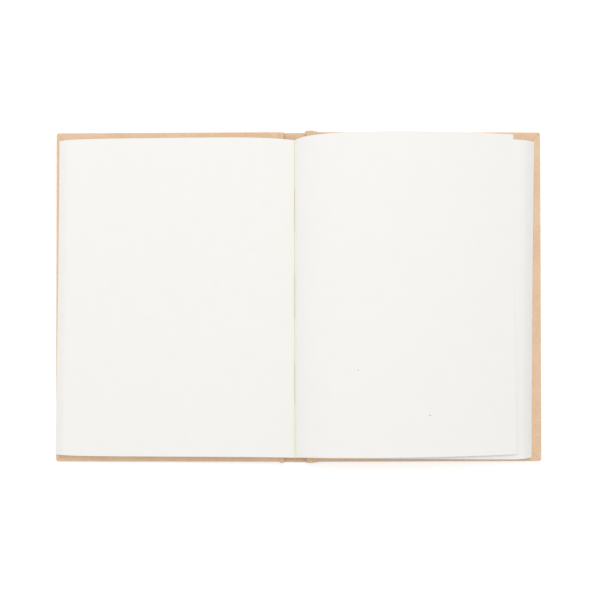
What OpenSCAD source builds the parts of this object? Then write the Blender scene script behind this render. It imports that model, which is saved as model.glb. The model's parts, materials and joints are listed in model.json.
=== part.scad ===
// Case-bound notebook lying open at its middle, blank leaves, kraft paper over grey boards.
// X runs from the front cover to the back cover, Y from tail to head, Z up from the table.

/* [Leaves] */
// Width of a leaf from the fold to the fore edge
leaf_w = 152; // [120:1:180]
// Height of a leaf from tail to head
leaf_h = 210; // [160:1:250]
// Thickness of the closed block of leaves
block_t = 9.6; // [7:0.2:13]
// Height of the centre fold above the back of the open block
fold_rise = 2; // [1.5:0.1:3]
// Share of the right-hand leaves that lie in the lower stack
lower_share = 0.88; // [0.7:0.02:0.94]

/* [Boards] */
// Thickness of a board
board_t = 2; // [1:0.25:3]
// Distance that a board stands out past the leaves
square_w = 4.5; // [2:0.5:8]
// Distance from the back of the closed block to a board
board_setback = 8; // [6:0.5:12]
// Radius of the outer board corners
corner_r = 1.7; // [0.6:0.1:4]
// Angle at which an open board leans on its fore edge
board_tilt = 1.2; // [0.9:0.1:2]

/* [Covering paper] */
// Thickness of the kraft paper
paper_t = 0.25; // [0.15:0.05:0.4]
// Width of the paper turned in over the board edges
turn_in = 15; // [9:1:22]
// Thickness of the pastedown
pastedown_t = 0.2; // [0.1:0.05:0.4]

/* [Spine and joints] */
// Thickness of the spine card
spine_card_t = 1.5; // [0.5:0.25:2]
// Thickness of the cloth lining
lining_t = 0.3; // [0.2:0.05:0.6]
// Gap that the folded front joint spans
front_joint_w = 3.8; // [3:0.1:8]
// Gap that the back joint spans
back_joint_w = 8.5; // [5:0.5:10]
// How far the joint paper stands past the boards at head and tail
ear = 0.8; // [0.2:0.1:2]

/* [Sewing] */
// Diameter of the sewing thread
thread_d = 0.45; // [0.3:0.05:0.8]
// Distance from head or tail to the nearest sewing hole
sewing_margin = 33.25; // [15:0.25:50]
// Number of sewing holes, always even
hole_count = 6; // [4:2:8]

/* [Hidden] */
$fn = 32;

KRAFT = [0.87, 0.74, 0.60];
PAGE = [0.96, 0.955, 0.94];
BOARD = [0.62, 0.60, 0.57];
CLOTH = [0.90, 0.88, 0.82];
THREAD = [0.93, 0.90, 0.80];

FRONT = -1;
BACK = 1;

// Clearance between the lowest leaf and the pastedown
leaf_gap = 0.1;
// Clearance between a cover and the joint paper at the hinge line
hinge_gap = 0.05;
// Clearance between the top of the joint paper and the block
ridge_gap = 0.3;
// Clearance around the thread in its holes
thread_gap = 0.1;
// How far each half of the back spreads past its own thickness when the block lies open
back_spread = 0.4;

// Bend of the top leaf on each side: angle at the fold, length over which that angle dies out,
// curl from fold to fore edge, and rise of the fore edge over the stack
FRONT_BEND = [26, 20, -1.8, 0];
BACK_BEND = [55, 20, 27.4, 7];
// How far the highest leaf of the lower right stack follows the top leaf
LOWER_FOLLOW = 0.85;
// How far the lowest leaf of the upper right group follows the top leaf
UPPER_FOLLOW = 0.97;
// Distance from the fold at which the two right-hand groups part
part_s = 4;

// Straight pieces that make up one leaf's section, and points in the fan of fore edges
leaf_steps = 40;
fan_steps = 6;
joint_steps = 24;

// How far a shape that cuts runs past what it cuts
cut = 1;

board_h = leaf_h + 2 * square_w;
board_w = leaf_w + square_w - board_setback;
spine_w = block_t + 2 * board_t;
cover_t = paper_t + board_t + paper_t + pastedown_t;
hinge_z = board_w * sin(board_tilt);
spine_x = (front_joint_w - back_joint_w) / 2;
back_half = block_t / 2 + back_spread;

function joint_w(side) = side == FRONT ? front_joint_w : back_joint_w;
function hinge_x(side) = spine_x + side * (spine_w / 2 + joint_w(side));

// Underside of the lowest leaf, at a distance d from the hinge line towards the spine
function rest_z(d) = hinge_z + (cover_t + leaf_gap) / cos(board_tilt) + d * tan(board_tilt);
function corner_x(side) = spine_x + side * back_half;
function corner_z(side) = rest_z(abs(hinge_x(side) - corner_x(side)));
back_z = (corner_z(FRONT) + corner_z(BACK)) / 2;
fold_z = back_z + fold_rise;

// The top leaf leans so that its fore edge ends on the stack, plus the rise given in its bend
function bend(side) = side == FRONT ? FRONT_BEND : BACK_BEND;
function fold_turn(side) = bend(side)[0] * bend(side)[1] * (1 - exp(-leaf_w / bend(side)[1]));
function end_z(side) = rest_z(-leaf_w) + block_t / 2 + bend(side)[3];
function lean(side) = ((end_z(side) - fold_z) * 180 / PI - fold_turn(side)) / leaf_w + bend(side)[2] / 2;
function top_angle(side, s) =
    bend(side)[0] * exp(-s / bend(side)[1]) + lean(side) - bend(side)[2] * s / leaf_w;

// A leaf lies at share f of its side's stack, 0 on the board and 1 on top, and follows the top leaf by w
function leaf_angle(side, w, s) = -board_tilt + w * (top_angle(side, s) + board_tilt);
function leaf_start(side, f) = [
    spine_x + side * back_half * (1 - f),
    corner_z(side) + (fold_z - corner_z(side)) * f];

// Section of a leaf, walked in steps of equal length so that every leaf keeps its width
leaf_ds = leaf_w / leaf_steps;
function walk(side, w, p, i) =
    let (a = leaf_angle(side, w, (i + 0.5) * leaf_ds))
    i == leaf_steps ? [p]
        : concat([p], walk(side, w, p + leaf_ds * [side * cos(a), sin(a)], i + 1));
function leaf(side, f, w) = walk(side, w, leaf_start(side, f), 0);
function from(list, first) = [for (i = [first:len(list) - 1]) list[i]];
function reversed(list) = [for (i = [len(list) - 1:-1:0]) list[i]];

// Fore edges of the leaves above the lowest one, up to share top of the stack
function lower_follow(side, f) = side == FRONT ? f : LOWER_FOLLOW * pow(f / lower_share, 2);
function fan(side, top) = [for (k = [1:fan_steps])
    let (f = top * k / fan_steps) leaf(side, f, lower_follow(side, f))[leaf_steps]];

part_i = ceil(part_s / leaf_ds);
front_section = concat(
    leaf(FRONT, 0, 0),
    fan(FRONT, 1),
    reversed(leaf(FRONT, 1, 1)));
back_section = concat(
    leaf(BACK, 0, 0),
    fan(BACK, lower_share),
    reversed(from(leaf(BACK, lower_share, LOWER_FOLLOW), part_i)),
    from(leaf(BACK, lower_share, UPPER_FOLLOW), part_i),
    reversed(from(leaf(BACK, 1, 1), 1)));
block_section = concat(reversed(front_section), back_section);

// Extrudes a section drawn in X and Z along Y, half to each side of the middle
module along_y(length) {
    translate([0, length / 2, 0])
        rotate([90, 0, 0])
            linear_extrude(length)
                children();
}

// The thread runs in the fold between the first two holes, outside the back between the next two
hole_pitch = (leaf_h - 2 * sewing_margin) / (hole_count - 1);
hole_y = [for (i = [0:hole_count - 1]) sewing_margin - leaf_h / 2 + i * hole_pitch];
inner_z = fold_z + thread_d / 2;
outer_z = back_z + thread_d / 2 + thread_gap / 4;

module thread_run(y0, y1, z, d) {
    translate([spine_x, y1, z])
        rotate([90, 0, 0])
            cylinder(h = y1 - y0, d = d);
}

module thread_path(d) {
    for (y = hole_y) {
        translate([spine_x, y, outer_z])
            cylinder(h = inner_z - outer_z, d = d);
        for (z = [outer_z, inner_z])
            translate([spine_x, y, z])
                sphere(d = d);
    }
    for (i = [0:2:hole_count - 2])
        thread_run(hole_y[i], hole_y[i + 1], inner_z, d);
    for (i = [1:2:hole_count - 2])
        thread_run(hole_y[i], hole_y[i + 1], outer_z, d);
}

module text_block() {
    color(PAGE)
        difference() {
            along_y(leaf_h) polygon(block_section);
            thread_path(thread_d + 2 * thread_gap);
        }
}

module sewing_thread() {
    color(THREAD) thread_path(thread_d);
}

// Cloth glued to the back of the block, a little short of head and tail
module spine_lining() {
    color(CLOTH)
        along_y(leaf_h - 2 * square_w)
            polygon([
                [corner_x(FRONT), corner_z(FRONT)],
                [corner_x(BACK), corner_z(BACK)],
                [corner_x(BACK), corner_z(BACK) - lining_t],
                [corner_x(FRONT), corner_z(FRONT) - lining_t]]);
}

spine_card_h = board_h - 2 * paper_t;
module spine_card() {
    color(BOARD)
        translate([spine_x - spine_w / 2 + paper_t, -spine_card_h / 2, paper_t])
            cube([spine_w - 2 * paper_t, spine_card_h, spine_card_t]);
}

// Covering paper under the spine card, round its ends and turned in over it at head and tail
module spine_paper() {
    color(KRAFT)
        difference() {
            translate([spine_x - spine_w / 2, -board_h / 2, 0])
                cube([spine_w, board_h, spine_card_t + 2 * paper_t]);
            translate([spine_x - spine_w, -spine_card_h / 2, paper_t])
                cube([2 * spine_w, spine_card_h, spine_card_t]);
            translate([spine_x - spine_w, turn_in - board_h / 2, paper_t])
                cube([2 * spine_w, board_h - 2 * turn_in, 2 * spine_card_t]);
        }
}

// Joint paper: a ridge between the spine and the hinge line, just under the block
function joint_rise(side) =
    rest_z(joint_w(side) / 2) - ridge_gap - hinge_z / 2 - 2 * paper_t;
function joint_point(side, t) = [
    spine_x + side * (spine_w / 2 + hinge_gap + t * (joint_w(side) - 2 * hinge_gap)),
    paper_t / 2 + t * hinge_z + joint_rise(side) * (1 - cos(360 * t)) / 2];
function joint_normal(side, t) =
    let (d = joint_point(side, min(1, t + 0.01)) - joint_point(side, max(0, t - 0.01)))
    side * [-d[1], d[0]] / norm(d);
function joint_line(side, off) = [for (i = [0:joint_steps])
    let (t = i / joint_steps) joint_point(side, t) + off * joint_normal(side, t)];

// The sheet's edges are cut upright, clear of the spine paper and of the turning cover
module joint_slot(side) {
    x0 = spine_x + side * (spine_w / 2 + hinge_gap);
    x1 = hinge_x(side) - side * hinge_gap;
    translate([min(x0, x1), -cut]) square([abs(x1 - x0), fold_z + 2 * cut]);
}

module joint_sheet(side, low, high, length) {
    along_y(length)
        intersection() {
            polygon(concat(joint_line(side, low), reversed(joint_line(side, high))));
            joint_slot(side);
        }
}

// The sheet is double where it is turned in at head and tail
module joint_paper(side) {
    joint_h = board_h + 2 * ear;
    color(KRAFT) {
        joint_sheet(side, -paper_t / 2, paper_t / 2, joint_h);
        for (end = [-1, 1])
            translate([0, end * (joint_h - turn_in) / 2, 0])
                joint_sheet(side, 0, 3 * paper_t / 2, turn_in);
    }
}

module front_joint_paper() {
    joint_paper(FRONT);
}

module back_joint_paper() {
    joint_paper(BACK);
}

// A cover is drawn flat with its hinge line on the Y axis, then turned about it and moved to its place
module place_cover(side) {
    translate([hinge_x(side), 0, hinge_z])
        rotate([0, side * board_tilt, 0])
            mirror([side == FRONT ? 1 : 0, 0, 0])
                children();
}

module cover_outline(inset, start) {
    w = board_w - inset;
    h = board_h - 2 * inset;
    translate([start, -h / 2]) square([w - corner_r - start, h]);
    translate([start, corner_r - h / 2]) square([w - start, h - 2 * corner_r]);
    for (end = [-1, 1])
        translate([w - corner_r, end * (h / 2 - corner_r)]) circle(corner_r);
}

module board(side) {
    color(BOARD)
        place_cover(side)
            translate([0, 0, paper_t])
                linear_extrude(board_t) cover_outline(paper_t, 0);
}

// Covering paper under the board, round its edges and turned in over it on three sides
module cover_paper(side) {
    color(KRAFT)
        place_cover(side)
            difference() {
                linear_extrude(board_t + 2 * paper_t) cover_outline(0, 0);
                translate([0, 0, paper_t])
                    linear_extrude(board_t) cover_outline(paper_t, -cut);
                translate([-cut, turn_in - board_h / 2, paper_t])
                    cube([board_w - turn_in + cut, board_h - 2 * turn_in, board_t + 2 * paper_t]);
            }
}

// The pastedown covers the turn-ins and dips into the space between them
module pastedown(side) {
    window_z = paper_t + board_t;
    color(KRAFT)
        place_cover(side) {
            translate([0, square_w - board_h / 2, window_z + paper_t])
                cube([board_w - square_w, board_h - 2 * square_w, pastedown_t]);
            translate([0, turn_in - board_h / 2, window_z])
                cube([board_w - turn_in, board_h - 2 * turn_in, paper_t]);
        }
}

module front_board() {
    board(FRONT);
}

module front_cover_paper() {
    cover_paper(FRONT);
}

module front_pastedown() {
    pastedown(FRONT);
}

module back_board() {
    board(BACK);
}

module back_cover_paper() {
    cover_paper(BACK);
}

module back_pastedown() {
    pastedown(BACK);
}

text_block();
sewing_thread();
spine_lining();
spine_card();
spine_paper();
front_joint_paper();
back_joint_paper();
front_board();
front_cover_paper();
front_pastedown();
back_board();
back_cover_paper();
back_pastedown();
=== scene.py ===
# %% [markdown]
# # An opened notebook
# A case-bound notebook lies open at its middle on a pale floor. Its boards are covered with brown
# kraft paper and its leaves are blank. The solids of the frame carry the construction. This file
# gives the notebook its looks: leaf by leaf paper, folded covering paper, and a finish for every
# surface. Every length is in metres.

# %% Load the frame
import json
import math
import random

import bmesh
import bpy
import numpy as np
from mathutils import Matrix, Vector


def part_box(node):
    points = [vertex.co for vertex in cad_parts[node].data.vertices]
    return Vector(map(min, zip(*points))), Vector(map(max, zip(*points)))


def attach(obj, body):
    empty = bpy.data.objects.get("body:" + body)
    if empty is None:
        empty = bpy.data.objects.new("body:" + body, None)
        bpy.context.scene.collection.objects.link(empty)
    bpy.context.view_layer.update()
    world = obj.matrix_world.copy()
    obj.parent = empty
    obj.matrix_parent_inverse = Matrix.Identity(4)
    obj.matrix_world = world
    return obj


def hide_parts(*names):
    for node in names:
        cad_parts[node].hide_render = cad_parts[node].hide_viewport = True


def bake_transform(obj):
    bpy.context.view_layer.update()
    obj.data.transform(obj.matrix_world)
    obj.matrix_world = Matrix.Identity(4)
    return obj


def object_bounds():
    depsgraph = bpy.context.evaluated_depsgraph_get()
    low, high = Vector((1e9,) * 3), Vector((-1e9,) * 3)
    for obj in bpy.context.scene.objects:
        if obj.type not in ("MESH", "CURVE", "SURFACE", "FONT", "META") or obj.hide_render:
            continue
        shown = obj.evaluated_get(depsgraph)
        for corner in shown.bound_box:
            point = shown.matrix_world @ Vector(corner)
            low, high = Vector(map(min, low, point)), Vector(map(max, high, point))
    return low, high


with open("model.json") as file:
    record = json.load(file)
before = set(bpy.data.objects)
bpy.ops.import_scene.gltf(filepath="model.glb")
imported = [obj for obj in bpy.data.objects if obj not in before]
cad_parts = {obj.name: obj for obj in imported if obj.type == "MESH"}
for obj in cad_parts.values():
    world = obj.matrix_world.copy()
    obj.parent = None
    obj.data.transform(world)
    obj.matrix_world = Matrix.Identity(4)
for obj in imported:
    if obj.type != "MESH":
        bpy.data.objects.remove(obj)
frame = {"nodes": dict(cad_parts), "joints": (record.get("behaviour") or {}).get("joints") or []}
cad_low, cad_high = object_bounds()
print("frame", len(frame["nodes"]), "nodes from", list(cad_low), "to", list(cad_high))

# %% [markdown]
# The sizes come from the frame wherever it holds them: the hinge lines from the joints, the
# leaves' height and the spine's place from the solids. What a solid can't tell, such as a leaf's
# true width along its bend, is named here once. A side is -1 for the front and 1 for the back, so
# that it can also turn a distance towards its own cover.

# %% Name the sizes
MM = 0.001
TINY = 1e-7
FRONT = -1
BACK = 1
COVERS = {FRONT: "front_cover", BACK: "back_cover"}
hinges = {side: next(Vector(j["pos_m"]) for j in frame["joints"] if j["child"] == body)
          for side, body in COVERS.items()}
spine_low, spine_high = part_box("spine_paper")
block_low, block_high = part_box("text_block")
cover_low, cover_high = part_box("back_cover_paper")
spine_x = (spine_low.x + spine_high.x) / 2
spine_half = (spine_high.x - spine_low.x) / 2
leaf_h = block_high.y - block_low.y
board_h = cover_high.y - cover_low.y
board_w = math.hypot(cover_high.x - hinges[BACK].x, hinges[BACK].z)
tilt = math.asin(hinges[BACK].z / board_w)
LEAF_W = 152 * MM
PAPER_T = 0.25 * MM
BOARD_T = 2 * MM
PASTEDOWN_T = 0.2 * MM
TURN_IN = 15 * MM
cover_t = 2 * PAPER_T + BOARD_T + PASTEDOWN_T
print("leaf", LEAF_W, "by", leaf_h)
print("board", round(board_w, 4), "by", round(board_h, 4),
      "leaning", round(math.degrees(tilt), 2), "degrees")

# %% [markdown]
# The camera looks almost straight down from 750 mm, as the photograph does. Its place and turn
# were worked out from where the outline of the open case lies in the picture, so the framing
# matches without a shift.

# %% Camera
CAMERA_AT = (3.31 * MM, -12.1 * MM, 750 * MM)
CAMERA_TURN = (math.radians(0.759), math.radians(0.172), math.radians(-0.066))
FOCAL_LENGTH = 67.31
SENSOR_WIDTH = 36

camera = bpy.data.objects.new("camera", bpy.data.cameras.new("camera"))
bpy.context.scene.collection.objects.link(camera)
camera.location = CAMERA_AT
camera.rotation_euler = CAMERA_TURN
camera.data.lens = FOCAL_LENGTH
camera.data.sensor_width = SENSOR_WIDTH
bpy.context.scene.camera = camera
print("camera at", CAMERA_AT, "with a lens of", FOCAL_LENGTH, "mm")

# %% [markdown]
# Materials are built from nodes. Small helpers keep that readable. One starts a material, and one
# adds a node and feeds its inputs, from another node's output or with a plain value. The others
# are the few nodes that all the papers share: arithmetic, a smooth step, a mix of two colours, a
# noise and a bump. Patches are where a noise is high, faded in between two limits.

# %% Helpers for materials
MIX_SHARE, MIX_ONE, MIX_OTHER = 0, 6, 7
MIX_RESULT = 2


def new_material(name, roughness, specular):
    material = bpy.data.materials.new(name)
    material.use_nodes = True
    shader = material.node_tree.nodes["Principled BSDF"]
    shader.inputs["Roughness"].default_value = roughness
    shader.inputs["Specular IOR Level"].default_value = specular
    print("material", name, "roughness", roughness)
    return material, material.node_tree, shader


def feed(tree, socket, value):
    if isinstance(value, bpy.types.NodeSocket):
        tree.links.new(value, socket)
    else:
        socket.default_value = value


def add(tree, kind, settings=None, **inputs):
    """Add a node. An input is given by its name, or as i0, i1 and so on by its number."""
    node = tree.nodes.new(kind)
    for key, value in (settings or {}).items():
        setattr(node, key, value)
    for key, value in inputs.items():
        numbered = key[0] == "i" and key[1:].isdigit()
        feed(tree, node.inputs[int(key[1:])] if numbered else node.inputs[key], value)
    return node


def maths(tree, operation, one, other=0.0):
    return add(tree, "ShaderNodeMath", {"operation": operation}, i0=one, i1=other).outputs[0]


def ramp(tree, value, low, high, to_low=0.0, to_high=1.0):
    made = add(tree, "ShaderNodeMapRange", {"interpolation_type": "SMOOTHSTEP"},
               i0=value, i1=low, i2=high, i3=to_low, i4=to_high)
    return made.outputs[0]


def mix(tree, share, one, other):
    made = add(tree, "ShaderNodeMix", {"data_type": "RGBA"})
    feed(tree, made.inputs[MIX_SHARE], share)
    feed(tree, made.inputs[MIX_ONE], one)
    feed(tree, made.inputs[MIX_OTHER], other)
    return made.outputs[MIX_RESULT]


def noise(tree, where, scale, detail=2.0, stretch=(1, 1, 1), turn=0.0):
    turned = add(tree, "ShaderNodeMapping", Vector=where, Rotation=(0, 0, turn), Scale=stretch)
    made = add(tree, "ShaderNodeTexNoise", Vector=turned.outputs[0], Scale=scale, Detail=detail)
    return made.outputs[0]


def patches(tree, where, look):
    how, limits = look
    return ramp(tree, noise(tree, where, *how), *limits)


def bump(tree, shader, height, distance, strength=1.0):
    made = add(tree, "ShaderNodeBump", Height=height, Distance=distance, Strength=strength)
    tree.links.new(made.outputs[0], shader.inputs["Normal"])


# %% [markdown]
# The leaves are uncoated writing paper: warm white, matt, with a cloudy formation that shows only
# faintly and a very fine tooth. Along the fold the sheet is a little yellower, where glue and
# shade reach it. The UV map runs across the leaf from the fold, so that tint follows each leaf
# however it bends, and the crease itself gets a thin greyer line of painted shade. Two specks of
# dirt lie on the right-hand page, each a ragged spot about a point of it.

# %% Page paper
PAGE = (0.905, 0.893, 0.862, 1)
PAGE_CLOUD = (0.897, 0.885, 0.852, 1)
PAGE_FOLD = (0.90, 0.89, 0.79, 1)
# Painted shade: the dark line in the crease of the fold
PAGE_CREASE_SHADE = (0.71, 0.705, 0.615, 1)
SPECK = (0.34, 0.31, 0.28, 1)
# A look is a noise, as scale, detail, stretch and turn, and the limits of its ramp. A tint is
# the limits alone.
PAGE_CLOUDS = ((90, 4), (0.35, 0.75))
FOLD_TINT = (0.058, 0.035, 0, 0.9)
CREASE_SHADE_TINT = (0.008, 0.002, 0, 0.85)
PAGE_TOOTH = (2600, 3)
PAGE_NAP = (700, 2)
# Place along X and Y, and radius
SPECKS = ((38.6 * MM, -47.6 * MM, 0.45 * MM), (85.0 * MM, -77.0 * MM, 0.55 * MM))
SPECK_RAGS = (2500,)
SPECK_RAGGED = 0.6 * MM
SPECK_OUTER = 0.35 * MM
SPECK_INNER = 0.15 * MM


def speck(tree, where, x, y, radius):
    flat = add(tree, "ShaderNodeVectorMath", {"operation": "MULTIPLY"}, i0=where, i1=(1, 1, 0))
    away = add(tree, "ShaderNodeVectorMath", {"operation": "DISTANCE"},
               i0=flat.outputs[0], i1=(x, y, 0))
    ragged = maths(tree, "MULTIPLY", noise(tree, where, *SPECK_RAGS), SPECK_RAGGED)
    spread = maths(tree, "ADD", away.outputs["Value"], ragged)
    return ramp(tree, spread, radius + SPECK_OUTER, radius / 2 + SPECK_INNER)


def make_page_paper():
    material, tree, shader = new_material("page_paper", roughness=0.78, specular=0.28)
    where = add(tree, "ShaderNodeTexCoord").outputs["Object"]
    unrolled = add(tree, "ShaderNodeUVMap").outputs[0]
    across = add(tree, "ShaderNodeSeparateXYZ", Vector=unrolled).outputs[0]
    colour = mix(tree, patches(tree, where, PAGE_CLOUDS), PAGE, PAGE_CLOUD)
    colour = mix(tree, ramp(tree, across, *FOLD_TINT), colour, PAGE_FOLD)
    # painted shade: a thin greyer line along the crease
    colour = mix(tree, ramp(tree, across, *CREASE_SHADE_TINT), colour, PAGE_CREASE_SHADE)
    for x, y, radius in SPECKS:
        colour = mix(tree, speck(tree, where, x, y, radius), colour, SPECK)
    tree.links.new(colour, shader.inputs["Base Color"])
    tooth = maths(tree, "ADD", noise(tree, where, *PAGE_TOOTH), noise(tree, where, *PAGE_NAP))
    bump(tree, shader, tooth, distance=0.02 * MM, strength=0.5)
    return material


page_paper = make_page_paper()

# %% [markdown]
# Kraft paper is brown because its pulp isn't bleached. Long fibres lie in it mostly along the
# machine direction, so two stretched noises crossed at an angle make them. Thresholded noises add
# the dark and pale flecks, and the folded edges of a board are rubbed a little paler than its
# faces. Where two turn-ins meet in a mitre at a corner, shade and glue make a thin dark seam.

# %% Kraft paper
KRAFT = (0.81, 0.575, 0.385, 1)
KRAFT_DEEP = (0.75, 0.515, 0.335, 1)
KRAFT_PALE = (0.88, 0.685, 0.50, 1)
FLECK = (0.45, 0.29, 0.16, 1)
SEAM_SHADE = (0.42, 0.27, 0.16, 1)
FIBRES_ALONG = (1500, 3, (1, 0.2, 1), 0.5)
FIBRES_ACROSS = (1300, 3, (0.25, 1, 1), -0.6)
FIBRE_LIMITS = (0.16, 0.36)
KRAFT_CLOUDS = ((45, 3), (0.35, 0.75, 0, 0.35))
DARK_FLECKS = ((2600, 1), (0.68, 0.76, 0, 0.5))
PALE_FLECKS = ((1900, 1, (1, 0.4, 1), 0.9), (0.66, 0.78, 0, 0.6))
RUBBING = ((260, 3), (0.4, 0.65, 0, 0.5))
KRAFT_NAP = (900, 3)
RUBBED_W = 0.9 * MM
SEAM_HALF = 0.25 * MM
SEAM_DARKNESS = 0.35


def mitre_seam(tree, place):
    """Share of seam: near a corner's diagonal, within the turn-ins, on the inner side only."""
    x = maths(tree, "ABSOLUTE", place.outputs[0])
    y = maths(tree, "ABSOLUTE", place.outputs[1])
    off = maths(tree, "SUBTRACT", maths(tree, "SUBTRACT", x, y), cad_high.x - board_h / 2)
    near = ramp(tree, maths(tree, "ABSOLUTE", off), 2 * SEAM_HALF, SEAM_HALF / 2,
                0, SEAM_DARKNESS)
    inside = maths(tree, "GREATER_THAN", x, cad_high.x - TURN_IN)
    upper = maths(tree, "GREATER_THAN", place.outputs[2], BOARD_T)
    return maths(tree, "MULTIPLY", near, maths(tree, "MULTIPLY", inside, upper))


def rubbed_edge(tree, where, place):
    """Share of rubbing: close to the outline of the open case, and in patches along it."""
    x = maths(tree, "ABSOLUTE", place.outputs[0])
    y = maths(tree, "ABSOLUTE", place.outputs[1])
    from_side = ramp(tree, x, cad_high.x - RUBBED_W, cad_high.x)
    from_end = ramp(tree, y, board_h / 2 - RUBBED_W, board_h / 2)
    edge = maths(tree, "MAXIMUM", from_side, from_end)
    return maths(tree, "MULTIPLY", edge, patches(tree, where, RUBBING))


def make_kraft_paper():
    material, tree, shader = new_material("kraft_paper", roughness=0.82, specular=0.25)
    where = add(tree, "ShaderNodeTexCoord").outputs["Object"]
    place = add(tree, "ShaderNodeSeparateXYZ", Vector=where)
    fibres = maths(tree, "MULTIPLY", noise(tree, where, *FIBRES_ALONG),
                   noise(tree, where, *FIBRES_ACROSS))
    colour = mix(tree, ramp(tree, fibres, *FIBRE_LIMITS), KRAFT_DEEP, KRAFT)
    colour = mix(tree, patches(tree, where, KRAFT_CLOUDS), colour, KRAFT_PALE)
    colour = mix(tree, patches(tree, where, DARK_FLECKS), colour, FLECK)
    colour = mix(tree, patches(tree, where, PALE_FLECKS), colour, KRAFT_PALE)
    colour = mix(tree, rubbed_edge(tree, where, place), colour, KRAFT_PALE)
    colour = mix(tree, mitre_seam(tree, place), colour, SEAM_SHADE)
    tree.links.new(colour, shader.inputs["Base Color"])
    rough = maths(tree, "ADD", fibres, noise(tree, where, *KRAFT_NAP))
    bump(tree, shader, rough, distance=0.05 * MM, strength=0.6)
    return material


kraft_paper = make_kraft_paper()

# %% [markdown]
# Grey board is pressed from waste paper: grey-brown, with soft clots of fibre. The lining is an
# open cotton cloth, so two crossed wave patterns make its weave. The thread is linen: its twist
# is modelled further down, and a slanted wave adds the fibres of its plies.

# %% Board, cloth and thread
BOARD_TONES = ((0.30, 0.28, 0.25, 1), (0.42, 0.39, 0.35, 1))
CLOTH_TONES = ((0.45, 0.41, 0.33, 1), (0.80, 0.76, 0.66, 1))
THREAD_TONES = ((0.62, 0.60, 0.50, 1), (0.80, 0.78, 0.67, 1))
CLOTS = ((600, 4), (0.35, 0.7))
WEAVE_SCALE = 420.0
PLY_SCALE = 900.0
PLY_SLANT = 0.6


def bands(tree, where, direction, scale):
    made = add(tree, "ShaderNodeTexWave", {"bands_direction": direction}, Vector=where,
               Scale=scale)
    return made.outputs["Fac"]


def make_grey_board():
    material, tree, shader = new_material("grey_board", roughness=0.9, specular=0.2)
    where = add(tree, "ShaderNodeTexCoord").outputs["Object"]
    clots = patches(tree, where, CLOTS)
    tree.links.new(mix(tree, clots, *BOARD_TONES), shader.inputs["Base Color"])
    bump(tree, shader, clots, distance=0.05 * MM)
    return material


def make_lining_cloth():
    material, tree, shader = new_material("lining_cloth", roughness=0.9, specular=0.2)
    where = add(tree, "ShaderNodeTexCoord").outputs["Object"]
    weave = maths(tree, "MAXIMUM", bands(tree, where, "X", WEAVE_SCALE),
                  bands(tree, where, "Y", WEAVE_SCALE))
    tree.links.new(mix(tree, weave, *CLOTH_TONES), shader.inputs["Base Color"])
    bump(tree, shader, weave, distance=0.1 * MM)
    return material


def make_linen_thread():
    material, tree, shader = new_material("linen_thread", roughness=0.7, specular=0.3)
    where = add(tree, "ShaderNodeTexCoord").outputs["Object"]
    slanted = add(tree, "ShaderNodeMapping", Vector=where, Rotation=(0, 0, PLY_SLANT))
    fibres = bands(tree, slanted.outputs[0], "Y", PLY_SCALE)
    tree.links.new(mix(tree, fibres, *THREAD_TONES), shader.inputs["Base Color"])
    bump(tree, shader, fibres, distance=0.05 * MM)
    return material


grey_board = make_grey_board()
lining_cloth = make_lining_cloth()
linen_thread = make_linen_thread()

# %% [markdown]
# Some solids of the frame need no new shape: the boards, the card and the lining are flat and
# hidden, and the pastedowns are plain flat sheets. They keep their meshes and only get a finish.

# %% Finish the plain solids
CAD_FINISHES = {"spine_lining": lining_cloth, "spine_card": grey_board,
                "front_board": grey_board, "back_board": grey_board,
                "front_pastedown": kraft_paper, "back_pastedown": kraft_paper}
for node_name, finish in CAD_FINISHES.items():
    mesh = frame["nodes"][node_name].data
    mesh.materials.clear()
    mesh.materials.append(finish)
print("finishes on", len(CAD_FINISHES), "nodes of the frame")

# %% [markdown]
# One helper turns a bmesh into a finished piece: it makes the faces point outwards, shades the
# soft bends smooth and leaves real edges sharp, gives the piece its finish and hides the solid
# that it stands for, if there is one.

# %% Finish a piece
SHARP = math.radians(40)


def finish_piece(bm, name, material, replaced):
    bmesh.ops.recalc_face_normals(bm, faces=bm.faces[:])
    mesh = bpy.data.meshes.new(name)
    bm.to_mesh(mesh)
    bm.free()
    mesh.polygons.foreach_set("use_smooth", [True] * len(mesh.polygons))
    mesh.set_sharp_from_angle(angle=SHARP)
    mesh.materials.append(material)
    piece = bpy.data.objects.new(name, mesh)
    bpy.context.scene.collection.objects.link(piece)
    if replaced:
        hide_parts(replaced)
    print(name, len(mesh.polygons), "faces")
    return piece


print("folds of more than", round(math.degrees(SHARP)), "degrees stay sharp")

# %% [markdown]
# A leaf keeps its width however it bends. Its section starts at the back of the block and is
# walked outwards in short steps, each at the angle that the leaf has there: steep at the fold,
# then flatter, with a slow curl. The steps are shorter near the fold, where it bends most. The
# lowest leaf follows the board, the highest the free curve, and those between follow it by a
# share. That alone spreads the fore edges into the fan that an open book has.

# %% Section of a leaf
BACK_SPREAD = 5.2 * MM
FOLD_RISE = 2 * MM
LEAF_GAP = 0.1 * MM
BLOCK_HALF = 4.8 * MM
DIES_OUT = 20 * MM
LIFT = {FRONT: 0.0, BACK: 7 * MM}
# In degrees: the angle at the fold, and how much the leaf curls on its way to the fore edge
FIRST_ANGLE = {FRONT: 26, BACK: 55}
CURL = {FRONT: -1.8, BACK: 27.4}
ACROSS = 36
CROWD = 1.35


def rest_z(side, inward):
    """Height of the lowest leaf, a distance inwards from the hinge."""
    return hinges[side].z + (cover_t + LEAF_GAP) / math.cos(tilt) + inward * math.tan(tilt)


def corner_z(side):
    return rest_z(side, abs(hinges[side].x - spine_x) - BACK_SPREAD)


fold_z = (corner_z(FRONT) + corner_z(BACK)) / 2 + FOLD_RISE
stations = LEAF_W * (np.arange(ACROSS + 1) / ACROSS) ** CROWD
halfway = (stations[1:] + stations[:-1]) / 2
lengths = np.diff(stations)


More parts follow.
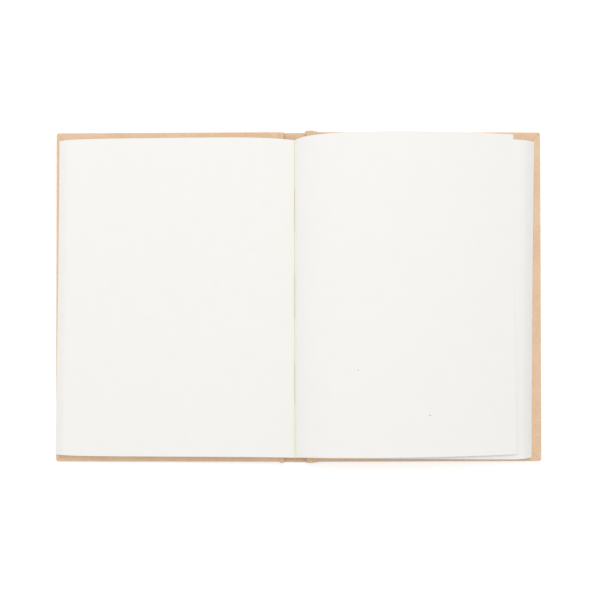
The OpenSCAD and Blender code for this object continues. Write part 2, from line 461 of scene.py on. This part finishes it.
def top_angles(side):
    first = FIRST_ANGLE[side]
    turned = first * DIES_OUT * (1 - math.exp(-LEAF_W / DIES_OUT))
    end_z = rest_z(side, -LEAF_W) + BLOCK_HALF + LIFT[side]
    lean = (math.degrees(end_z - fold_z) - turned) / LEAF_W + CURL[side] / 2
    return np.radians(first * np.exp(-halfway / DIES_OUT) + lean
                      - CURL[side] * halfway / LEAF_W)


def section(side, place, follow):
    """Places and slopes at the stations. Place runs from 0 for the lowest leaf to 1."""
    angles = -tilt + follow * (top_angles(side) + tilt)
    x0 = spine_x + side * BACK_SPREAD * (1 - place)
    z0 = corner_z(side) + (fold_z - corner_z(side)) * place
    x = x0 + side * np.concatenate(([0], np.cumsum(np.cos(angles) * lengths)))
    z = z0 + np.concatenate(([0], np.cumsum(np.sin(angles) * lengths)))
    return x, z, np.interp(stations, halfway, angles)


top_x, top_z, _ = section(BACK, 1, 1)
print("fold height", round(fold_z, 5), "crest", round(float(top_z.max()), 5),
      "fore edge", round(float(top_x[-1]), 5))

# %% [markdown]
# Handling has settled the leaves in three groups. Each group is drawn towards head or tail by one
# distance at the fold and another at the fore edge, some of them swell in between, and their
# outer corners lean out at the tail or the head. The left-hand leaves lie flat. Most of those on
# the right follow the board, and the few highest stand free of them.

# %% How the leaves have settled
LEAVES = 48
LOWER_SHARE = 0.88
LOWER_FOLLOW = 0.85
UPPER_FOLLOW = 0.97
LEFT = {"fold": -1.4 * MM, "edge": -0.3 * MM, "power": 1, "swell": 0.0,
        "out": (2.4 * MM, 0.0)}
LOWER = {"fold": -1.2 * MM, "edge": -2.0 * MM, "power": 1, "swell": 1.1 * MM,
         "out": (0.0, 2.5 * MM)}
RAISED = {"fold": -1.6 * MM, "edge": 1.45 * MM, "power": 0.3, "swell": 0.0,
          "out": (0.9 * MM, -0.9 * MM)}


def follow_of(side, place, settled):
    if side == FRONT:
        return place
    if settled is LOWER:
        return LOWER_FOLLOW * (place / LOWER_SHARE) ** 2
    return UPPER_FOLLOW + (1 - UPPER_FOLLOW) * (place - LOWER_SHARE) / (1 - LOWER_SHARE)


first_raised = round(LOWER_SHARE * LEAVES)
print(LEAVES, "leaves on each side, of which", LEAVES - first_raised, "stand free on the right")

# %% [markdown]
# Each leaf is a grid that is laid into its place point by point. A leaf slides a little along
# itself, never straight sideways, because its neighbour is closer than that would leave room for.
# The corners of the left-hand leaves are worn, so they get shorter close to the fore edge.

# %% Lay a leaf
ALONG = 10
FOLD_REACH = 18 * MM
SWELL_START = 0.09
OUT_POWER = 1.5
RAISED_APART = 0.09 * MM
CORNER_WORN = 0.7 * MM
WEAR_POWER = 12


def draw_along(settled, across, near_fold, follow):
    """How far a point is drawn towards the head."""
    drawn = settled["fold"] * near_fold + settled["edge"] * across ** settled["power"]
    swell = math.sin(math.pi * (SWELL_START + (1 - SWELL_START) * across))
    return drawn + settled["swell"] * follow / LOWER_FOLLOW * swell * (1 - near_fold)


def lay_leaf(bm, side, place, slide, astray, settled):
    grid = bmesh.ops.create_grid(bm, x_segments=ACROSS, y_segments=ALONG, size=0.5,
                                 calc_uvs=True)["verts"]
    follow = follow_of(side, place, settled)
    x, z, slopes = section(side, place, follow)
    tail, head = settled["out"]
    for vert in grid:
        i = round((vert.co.x + 0.5) * ACROSS)
        along = round((vert.co.y + 0.5) * ALONG) / ALONG
        across = stations[i] / LEAF_W
        near_fold = math.exp(-stations[i] / FOLD_REACH)
        drawn = draw_along(settled, across, near_fold, follow) + astray
        out = (tail * (1 - along) ** OUT_POWER + head * along ** OUT_POWER) * across ** 2
        out += slide * across * math.cos(slopes[i])
        up = slide * across * math.sin(slopes[i])
        if settled is RAISED:
            up += RAISED_APART * (place - LOWER_SHARE) * LEAVES * across ** 2
        worn = CORNER_WORN * across ** WEAR_POWER if side == FRONT else 0
        y = (along - 0.5) * (leaf_h - 2 * worn) + drawn
        vert.co = (x[i] + side * out, y, z[i] + up)
    # Each face once, and in the same order each time, which a set would not keep
    return list(dict.fromkeys(face for vert in grid for face in vert.link_faces))


print("a leaf has", ACROSS * ALONG, "faces before it gets its thickness")

# %% [markdown]
# Leaves are never quite in line. Each slides by a few hundredths of a millimetre, and the
# gatherings of eight, folded and sewn as one, shift together by more and stand a little apart.
# Their edges are the fine lines along the fore edge. A fixed seed keeps the stack the same each
# time. A leaf's thickness stays below the space to the next one, so that none cut through others.

# %% Build the leaves
LEAF_T = 0.065 * MM
LOOSE_LEAF_T = 0.13 * MM
GATHERING = 8
CLOSED = 0.88
FIRST_LOOSE = 2
SHIFTS = [shift * MM for shift in (0.1, 0.0, 0.15, -0.05, 0.1, 0.05)]
SLIDES = 0.05 * MM
ASTRAY = 0.1 * MM
random.seed(7)


def build_leaves(name, side, numbers, settled, replaced):
    bm = bmesh.new()
    bm.loops.layers.uv.new("UVMap")
    for number in numbers:
        gathering = number // GATHERING
        top = (gathering + 1) * GATHERING
        place = (top - CLOSED * (top - number - 1)) / LEAVES
        slide = SHIFTS[gathering] + random.uniform(-SLIDES, SLIDES)
        astray = random.uniform(-ASTRAY, ASTRAY)
        leaf = lay_leaf(bm, side, place, slide, astray, settled)
        loose = settled is LOWER and gathering >= FIRST_LOOSE
        bmesh.ops.solidify(bm, geom=leaf, thickness=LOOSE_LEAF_T if loose else LEAF_T)
    piece = finish_piece(bm, name, page_paper, replaced)
    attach(piece, "block")


build_leaves("front_leaves", FRONT, range(LEAVES), LEFT, "text_block")
build_leaves("back_leaves_lower", BACK, range(first_raised), LOWER, None)
build_leaves("back_leaves_raised", BACK, range(first_raised, LEAVES), RAISED, None)

# %% [markdown]
# The sewing thread shows as three stitches along the fold, and goes down through the block and
# along the back between them. Its way is a line of points. At every second hole it comes up and
# at the others it goes down, and two points a little apart soften each bend. The way follows the
# holes of the solid that it stands for.

# %% Way of the sewing thread
THREAD_D = 0.45 * MM
HOLES = 6
SEWING_MARGIN = 33.25 * MM
THREAD_BEND = 0.3 * MM


def thread_way():
    low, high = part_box("sewing_thread")
    outer, inner = low.z + THREAD_D / 2, high.z - THREAD_D / 2
    pitch = (leaf_h - 2 * SEWING_MARGIN) / (HOLES - 1)
    way = []
    for i in range(HOLES):
        y = SEWING_MARGIN - leaf_h / 2 + i * pitch
        arrives, leaves = (outer, inner) if i % 2 == 0 else (inner, outer)
        bend = math.copysign(THREAD_BEND, leaves - arrives)
        if i > 0:
            way.append(Vector((spine_x, y - THREAD_BEND, arrives)))
        way += [Vector((spine_x, y, arrives + bend)), Vector((spine_x, y, leaves - bend))]
        if i < HOLES - 1:
            way.append(Vector((spine_x, y + THREAD_BEND, leaves)))
    return way


way = thread_way()
print("thread", round(sum((b - a).length for a, b in zip(way, way[1:])) / MM, 1), "mm long")

# %% [markdown]
# The thread is two linen plies twisted together. A circle pinched in the middle stands for the
# two plies. It is extruded in short steps along the thread's way and turned a little at each,
# which twists it as the real thread is twisted. Only its two ends are left open, and are filled.

# %% Sewing thread
TWIST_LENGTH = 1.6 * MM
THREAD_STEP = 0.2 * MM
THREAD_SIDES = 12
PINCH = 0.4


def ring_place(point, heading, turned):
    across = Vector((1, 0, 0))
    basis = Matrix((across, heading.cross(across), heading)).transposed().to_4x4()
    return Matrix.Translation(point) @ basis @ Matrix.Rotation(turned, 4, "Z")


def extrude_ring(bm, edges):
    made = bmesh.ops.extrude_edge_only(bm, edges=edges)["geom"]
    ring = [g for g in made if isinstance(g, bmesh.types.BMVert)]
    return ring, [g for g in made if isinstance(g, bmesh.types.BMEdge)
                  and all(v in ring for v in g.verts)]


def build_thread():
    bm = bmesh.new()
    ring = bmesh.ops.create_circle(bm, segments=THREAD_SIDES, radius=THREAD_D / 2)["verts"]
    for vert in ring:
        vert.co *= 1 - PINCH * (2 * vert.co.y / THREAD_D) ** 2
    edges = bm.edges[:]
    at = Matrix.Identity(4)
    turned = 0.0
    for start, end in zip(way, way[1:]):
        heading = (end - start).normalized()
        steps = max(2, round((end - start).length / THREAD_STEP))
        for k in range(steps + 1):
            goes = ring_place(start.lerp(end, k / steps), heading, turned)
            if k > 0:
                ring, edges = extrude_ring(bm, edges)
            bmesh.ops.transform(bm, matrix=goes @ at.inverted(), verts=ring)
            at = goes
            turned += 2 * math.pi * (end - start).length / steps / TWIST_LENGTH
    bmesh.ops.holes_fill(bm, edges=[e for e in bm.edges if e.is_boundary], sides=0)
    piece = finish_piece(bm, "sewing_strand", linen_thread, "sewing_thread")
    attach(piece, "block")


build_thread()

# %% [markdown]
# The covering paper of a board is one sheet folded round its edges. A flat sheet is drawn first,
# its two outer corners are rounded, and its three outer edges are extruded up and then inwards as
# turn-ins. The folded edges are bevelled, as paper never folds quite sharp. A cover is modelled
# lying flat with its hinge at the origin, and then placed on its hinge and leaned.

# %% Fold a board's sheet
CORNER_R = 1.7 * MM
CORNER_STEPS = 6
EDGE_R = 0.45 * MM
EDGE_STEPS = 4
folded_h = BOARD_T + 2 * PAPER_T


def place_cover(side):
    turn = Matrix.Rotation(side * tilt, 4, "Y")
    flip = Matrix.Scale(-1, 4, (1, 0, 0)) if side == FRONT else Matrix.Identity(4)
    return Matrix.Translation(hinges[side]) @ turn @ flip


def outer_edges(bm, height):
    """Open edges at a height, but not those along the hinge."""
    return [e for e in bm.edges if e.is_boundary
            and all(abs(v.co.z - height) < TINY for v in e.verts)
            and not all(v.co.x < TINY for v in e.verts)]


def extrude_open(bm, edges):
    made = bmesh.ops.extrude_edge_only(bm, edges=edges)["geom"]
    return [g for g in made if isinstance(g, bmesh.types.BMVert)]


def fold_sheet(bm):
    for vert in bmesh.ops.create_grid(bm, x_segments=1, y_segments=1, size=0.5)["verts"]:
        vert.co = ((vert.co.x + 0.5) * board_w, vert.co.y * board_h, 0)
    corners = [v for v in bm.verts if v.co.x > board_w / 2]
    bmesh.ops.bevel(bm, geom=corners, offset=CORNER_R, segments=CORNER_STEPS, profile=0.5,
                    affect="VERTICES", material=-1)
    bmesh.ops.translate(bm, verts=extrude_open(bm, outer_edges(bm, 0)), vec=(0, 0, folded_h))
    for vert in extrude_open(bm, outer_edges(bm, folded_h)):
        if vert.co.x > board_w / 2:
            vert.co.x -= TURN_IN
        vert.co.y -= math.copysign(TURN_IN, vert.co.y)
    folds = [e for e in bm.edges if not e.is_boundary and e.calc_face_angle() > SHARP
             and abs(e.verts[0].co.z - e.verts[1].co.z) < TINY]
    bmesh.ops.bevel(bm, geom=folds, offset=EDGE_R, segments=EDGE_STEPS, profile=0.5,
                    affect="EDGES", material=-1)


print("a board's part of the sheet is", round(board_w + folded_h + TURN_IN, 4), "by",
      round(board_h + 2 * (folded_h + TURN_IN), 4), "when flat")

# %% [markdown]
# At each outer corner two turn-ins meet along a diagonal, the mitre. It is bevelled into a narrow
# strip, whose middle line is then sunk as a seam. Last, the sheet gets its thickness, inwards, so
# its outer face stays where it was drawn.

# %% Covering paper of the boards
SEAM_NEAR = 0.02 * MM
SEAM_DEPTH = 0.12 * MM


def on_mitre(vert):
    off = (board_w - vert.co.x) - (board_h / 2 - abs(vert.co.y))
    return (abs(off) < SEAM_NEAR and vert.co.z > folded_h - SEAM_NEAR
            and vert.co.x < board_w - EDGE_R)


def sink_mitres(bm):
    mitres = [e for e in bm.edges if all(on_mitre(v) for v in e.verts)]
    bmesh.ops.bevel(bm, geom=mitres, offset=SEAM_HALF, segments=2, profile=0.5,
                    affect="EDGES", material=-1)
    sunk = [v for v in bm.verts if on_mitre(v)]
    bmesh.ops.translate(bm, verts=sunk, vec=(0, 0, -SEAM_DEPTH))
    print(len(mitres), "mitres,", len(sunk), "points sunk")


def build_cover_paper(side, name, replaced):
    bm = bmesh.new()
    fold_sheet(bm)
    sink_mitres(bm)
    bmesh.ops.recalc_face_normals(bm, faces=bm.faces[:])
    bmesh.ops.solidify(bm, geom=bm.faces[:], thickness=PAPER_T)
    bmesh.ops.transform(bm, matrix=place_cover(side), verts=bm.verts[:])
    piece = finish_piece(bm, name, kraft_paper, replaced)
    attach(piece, COVERS[side])


build_cover_paper(FRONT, "front_cover_sheet", "front_cover_paper")
build_cover_paper(BACK, "back_cover_sheet", "back_cover_paper")

# %% [markdown]
# Over the joints and the spine the paper is folded back on itself at head and tail. Such a sheet
# is one grid along its unrolled length: from the end of one turn-in, round the fold, along the
# outer layer, round the other fold and back. Each row says which end it belongs to, how far it
# lies from that end, and how much of the half turn it has made.

# %% Rows of a folded sheet
FOLD_STEPS = 8
TURN_STEPS = 4
LENGTH_STEPS = 24


def smooth_step(value, low, high):
    share = min(1.0, max(0.0, (value - low) / (high - low)))
    return share * share * (3 - 2 * share)


def folded_rows(radius):
    """Rows as end, distance past the board's end, and share of the turn."""
    to_fold = board_h / 2 - radius
    half = [(to_fold * i / LENGTH_STEPS - board_h / 2, 0.0) for i in range(LENGTH_STEPS + 1)]
    angles = [math.pi * i / FOLD_STEPS for i in range(1, FOLD_STEPS)]
    half += [(radius * (math.sin(a) - 1), (1 - math.cos(a)) / 2) for a in angles]
    half += [(-radius - TURN_IN * i / TURN_STEPS, 1.0) for i in range(TURN_STEPS + 1)]
    return [(-1, *row) for row in reversed(half[1:])] + [(1, *row) for row in half]


def thicken(bm, middle_z):
    """Give a folded sheet its thickness, inwards: its lower layer has to face down for that."""
    bmesh.ops.recalc_face_normals(bm, faces=bm.faces[:])
    lower = [face for face in bm.faces if face.calc_center_median().z < middle_z]
    if sum(face.normal.z for face in lower) > 0:
        bmesh.ops.reverse_faces(bm, faces=bm.faces[:])
    bmesh.ops.solidify(bm, geom=bm.faces[:], thickness=PAPER_T)


print("a folded sheet has", len(folded_rows(PAPER_T)), "rows")

# %% [markdown]
# Between a board and the spine only the paper is left. Lying open, it stands up as a ridge, and
# past the block at head and tail, where nothing holds it down, the ridge rises into the two small
# ears that show in the photograph. Each ear is a little different, so each has its own reach past
# the boards and its own rise. The outer layer climbs from the spine to the hinge, and the
# turned-in layer lies on it and on the board.

# %% Heights of the joint paper
EAR_RISE = {(FRONT, 1): 0.0, (FRONT, -1): 0.0, (BACK, 1): 0.8 * MM, (BACK, -1): 0.2 * MM}
EAR_WALL = 0.15
EAR_FLAT = 0.55
SPINE_TOP = 2 * MM
LAYER_APART = 0.3 * MM
RIDGE_GAP = 0.3 * MM
# The turned-in layer's middle lies one and a half sheets above the board
TURNED_IN = 1.5 * PAPER_T


def joint_heights(side, end, share, y):
    span = abs(hinges[side].x - spine_x) - spine_half
    rise = rest_z(side, span / 2) - RIDGE_GAP - hinges[side].z / 2 - 2 * PAPER_T
    outer = (PAPER_T / 2 + share * hinges[side].z
             + rise * (1 - math.cos(2 * math.pi * share)) / 2)
    board_top = hinges[side].z + BOARD_T + TURNED_IN
    lifted = EAR_RISE[side, end] * smooth_step(abs(y), leaf_h / 2, board_h / 2)
    turned_in = board_top + lifted * (1 - smooth_step(share, EAR_FLAT, 1))
    turned_in = SPINE_TOP + (turned_in - SPINE_TOP) * smooth_step(share, 0, EAR_WALL)
    return outer, max(turned_in, outer + LAYER_APART)


for side, body in COVERS.items():
    print(body, "ridge", round(joint_heights(side, 1, 0.5, 0)[0] / MM, 2), "mm high")

# %% [markdown]
# The joint sheets are built from those rows and heights. They stop a hair short of the spine and
# of the board, where the real sheet simply goes on. A real joint bends with its cover; here the
# sheet stays where it is laid and follows neither the block nor the cover.

# %% Joint paper
EAR = {(FRONT, 1): -0.1 * MM, (FRONT, -1): 0.8 * MM,
       (BACK, 1): 0.95 * MM, (BACK, -1): 0.8 * MM}
EAR_FADE = 0.6
FADE_FROM = 0.5
END_GAP = 0.01
FOLD_R = 0.2 * MM
RIDGE_STEPS = 20


def build_joint_paper(side, name, replaced):
    rows = folded_rows(FOLD_R)
    last = len(rows) - 1
    span = abs(hinges[side].x - spine_x) - spine_half
    bm = bmesh.new()
    grid = bmesh.ops.create_grid(bm, x_segments=RIDGE_STEPS, y_segments=last, size=0.5)["verts"]
    for vert in grid:
        share = (0.5 + vert.co.x) ** CROWD
        end, inwards, turn = rows[round((vert.co.y + 0.5) * last)]
        ear = EAR[side, end] * (1 - EAR_FADE * smooth_step(share, FADE_FROM, 1))
        reach = ear * smooth_step(inwards, -board_h / 2, -TURN_IN)
        y = end * max(0.0, board_h / 2 + inwards + reach)
        outer, turned_in = joint_heights(side, end, share, y)
        x = spine_x + side * (spine_half + (END_GAP + (1 - 2 * END_GAP) * share) * span)
        vert.co = (x, y, outer + (turned_in - outer) * turn)
    thicken(bm, hinges[side].z)
    piece = finish_piece(bm, name, kraft_paper, replaced)
    end = (hinges[side].x, 0, 0)
    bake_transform(piece)


build_joint_paper(FRONT, "front_joint_sheet", "front_joint_paper")
build_joint_paper(BACK, "back_joint_sheet", "back_joint_paper")

# %% [markdown]
# The spine paper is the same kind of folded sheet, round a card this time, so its ends have a
# taller turn. At the tail it stands out past the boards with the ears beside it.

# %% Spine paper
CARD_T = 1.5 * MM
SPINE_END = {1: -0.2 * MM, -1: 0.8 * MM}
SPINE_STEPS = 12


def build_spine_paper():
    radius = CARD_T / 2 + PAPER_T
    rows = folded_rows(radius)
    last = len(rows) - 1
    bm = bmesh.new()
    grid = bmesh.ops.create_grid(bm, x_segments=SPINE_STEPS, y_segments=last, size=0.5)["verts"]
    for vert in grid:
        end, inwards, turn = rows[round((vert.co.y + 0.5) * last)]
        reach = SPINE_END[end] * smooth_step(inwards, -board_h / 2, -TURN_IN)
        y = end * (board_h / 2 + inwards + reach)
        vert.co = (spine_x + vert.co.x * 2 * spine_half, y, 2 * radius * turn)
    thicken(bm, radius)
    piece = finish_piece(bm, "spine_sheet", kraft_paper, "spine_paper")
    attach(piece, "block")


build_spine_paper()

# %% [markdown]
# The floor is a plain pale sheet. It keeps the notebook's soft shadow, and what the camera sees
# of it is lifted to white by a faint glow that only camera, glossy and transmitted rays meet, so
# it throws no light on the notebook. A light path node tells those rays.

# %% Floor
FLOOR_SIZE = 6.0
FLOOR_GAP = 0.3 * MM
FLOOR_TONE = (0.8, 0.8, 0.8, 1)
FLOOR_GLOW = 0.42
WHITE = (1, 1, 1, 1)


def seen_rays(tree):
    path = add(tree, "ShaderNodeLightPath")
    seen = maths(tree, "MAXIMUM", path.outputs["Is Camera Ray"], path.outputs["Is Glossy Ray"])
    return maths(tree, "MAXIMUM", seen, path.outputs["Is Transmission Ray"])


def make_floor():
    bm = bmesh.new()
    bmesh.ops.create_grid(bm, x_segments=1, y_segments=1, size=FLOOR_SIZE / 2)
    bmesh.ops.translate(bm, verts=bm.verts[:], vec=(0, 0, cad_low.z - FLOOR_GAP))
    mesh = bpy.data.meshes.new("floor")
    bm.to_mesh(mesh)
    bm.free()
    material, tree, shader = new_material("floor", roughness=0.9, specular=0.0)
    shader.inputs["Base Color"].default_value = FLOOR_TONE
    shader.inputs["Emission Color"].default_value = WHITE
    glow = maths(tree, "MULTIPLY", seen_rays(tree), FLOOR_GLOW)
    tree.links.new(glow, shader.inputs["Emission Strength"])
    mesh.materials.append(material)
    floor = bpy.data.objects.new("floor", mesh)
    bpy.context.scene.collection.objects.link(floor)
    print("floor at", round(cad_low.z - FLOOR_GAP, 5))


make_floor()

# %% [markdown]
# The light is a wide soft box above the head of the notebook, a little to the left, and an even
# white sky. The tail strips of the case then lie in the block's own shade, as they do in the
# photograph. The sky lights the notebook at less than white, but is seen as white itself.

# %% Light
SKY = 0.82
BOX_AT = Vector((-0.12, 0.80, 1.15))
BOX_SIZE = 1.2
BOX_POWER = 5.8

world = bpy.data.worlds.new("sky")
world.use_nodes = True
sky = world.node_tree.nodes["Background"]
sky.inputs["Color"].default_value = WHITE
lit = add(world.node_tree, "ShaderNodeMapRange", i0=seen_rays(world.node_tree),
          i1=0.0, i2=1.0, i3=SKY, i4=1.0)
world.node_tree.links.new(lit.outputs[0], sky.inputs["Strength"])
bpy.context.scene.world = world

soft_box = bpy.data.objects.new("soft_box", bpy.data.lights.new("soft_box", "AREA"))
bpy.context.scene.collection.objects.link(soft_box)
soft_box.data.size = BOX_SIZE
soft_box.data.energy = BOX_POWER
soft_box.location = BOX_AT
soft_box.rotation_mode = "QUATERNION"
soft_box.rotation_quaternion = (-BOX_AT).to_track_quat("-Z", "Y")
bpy.context.scene.view_settings.view_transform = "Standard"
print("sky", SKY, "soft box", BOX_POWER, "W at", list(BOX_AT))
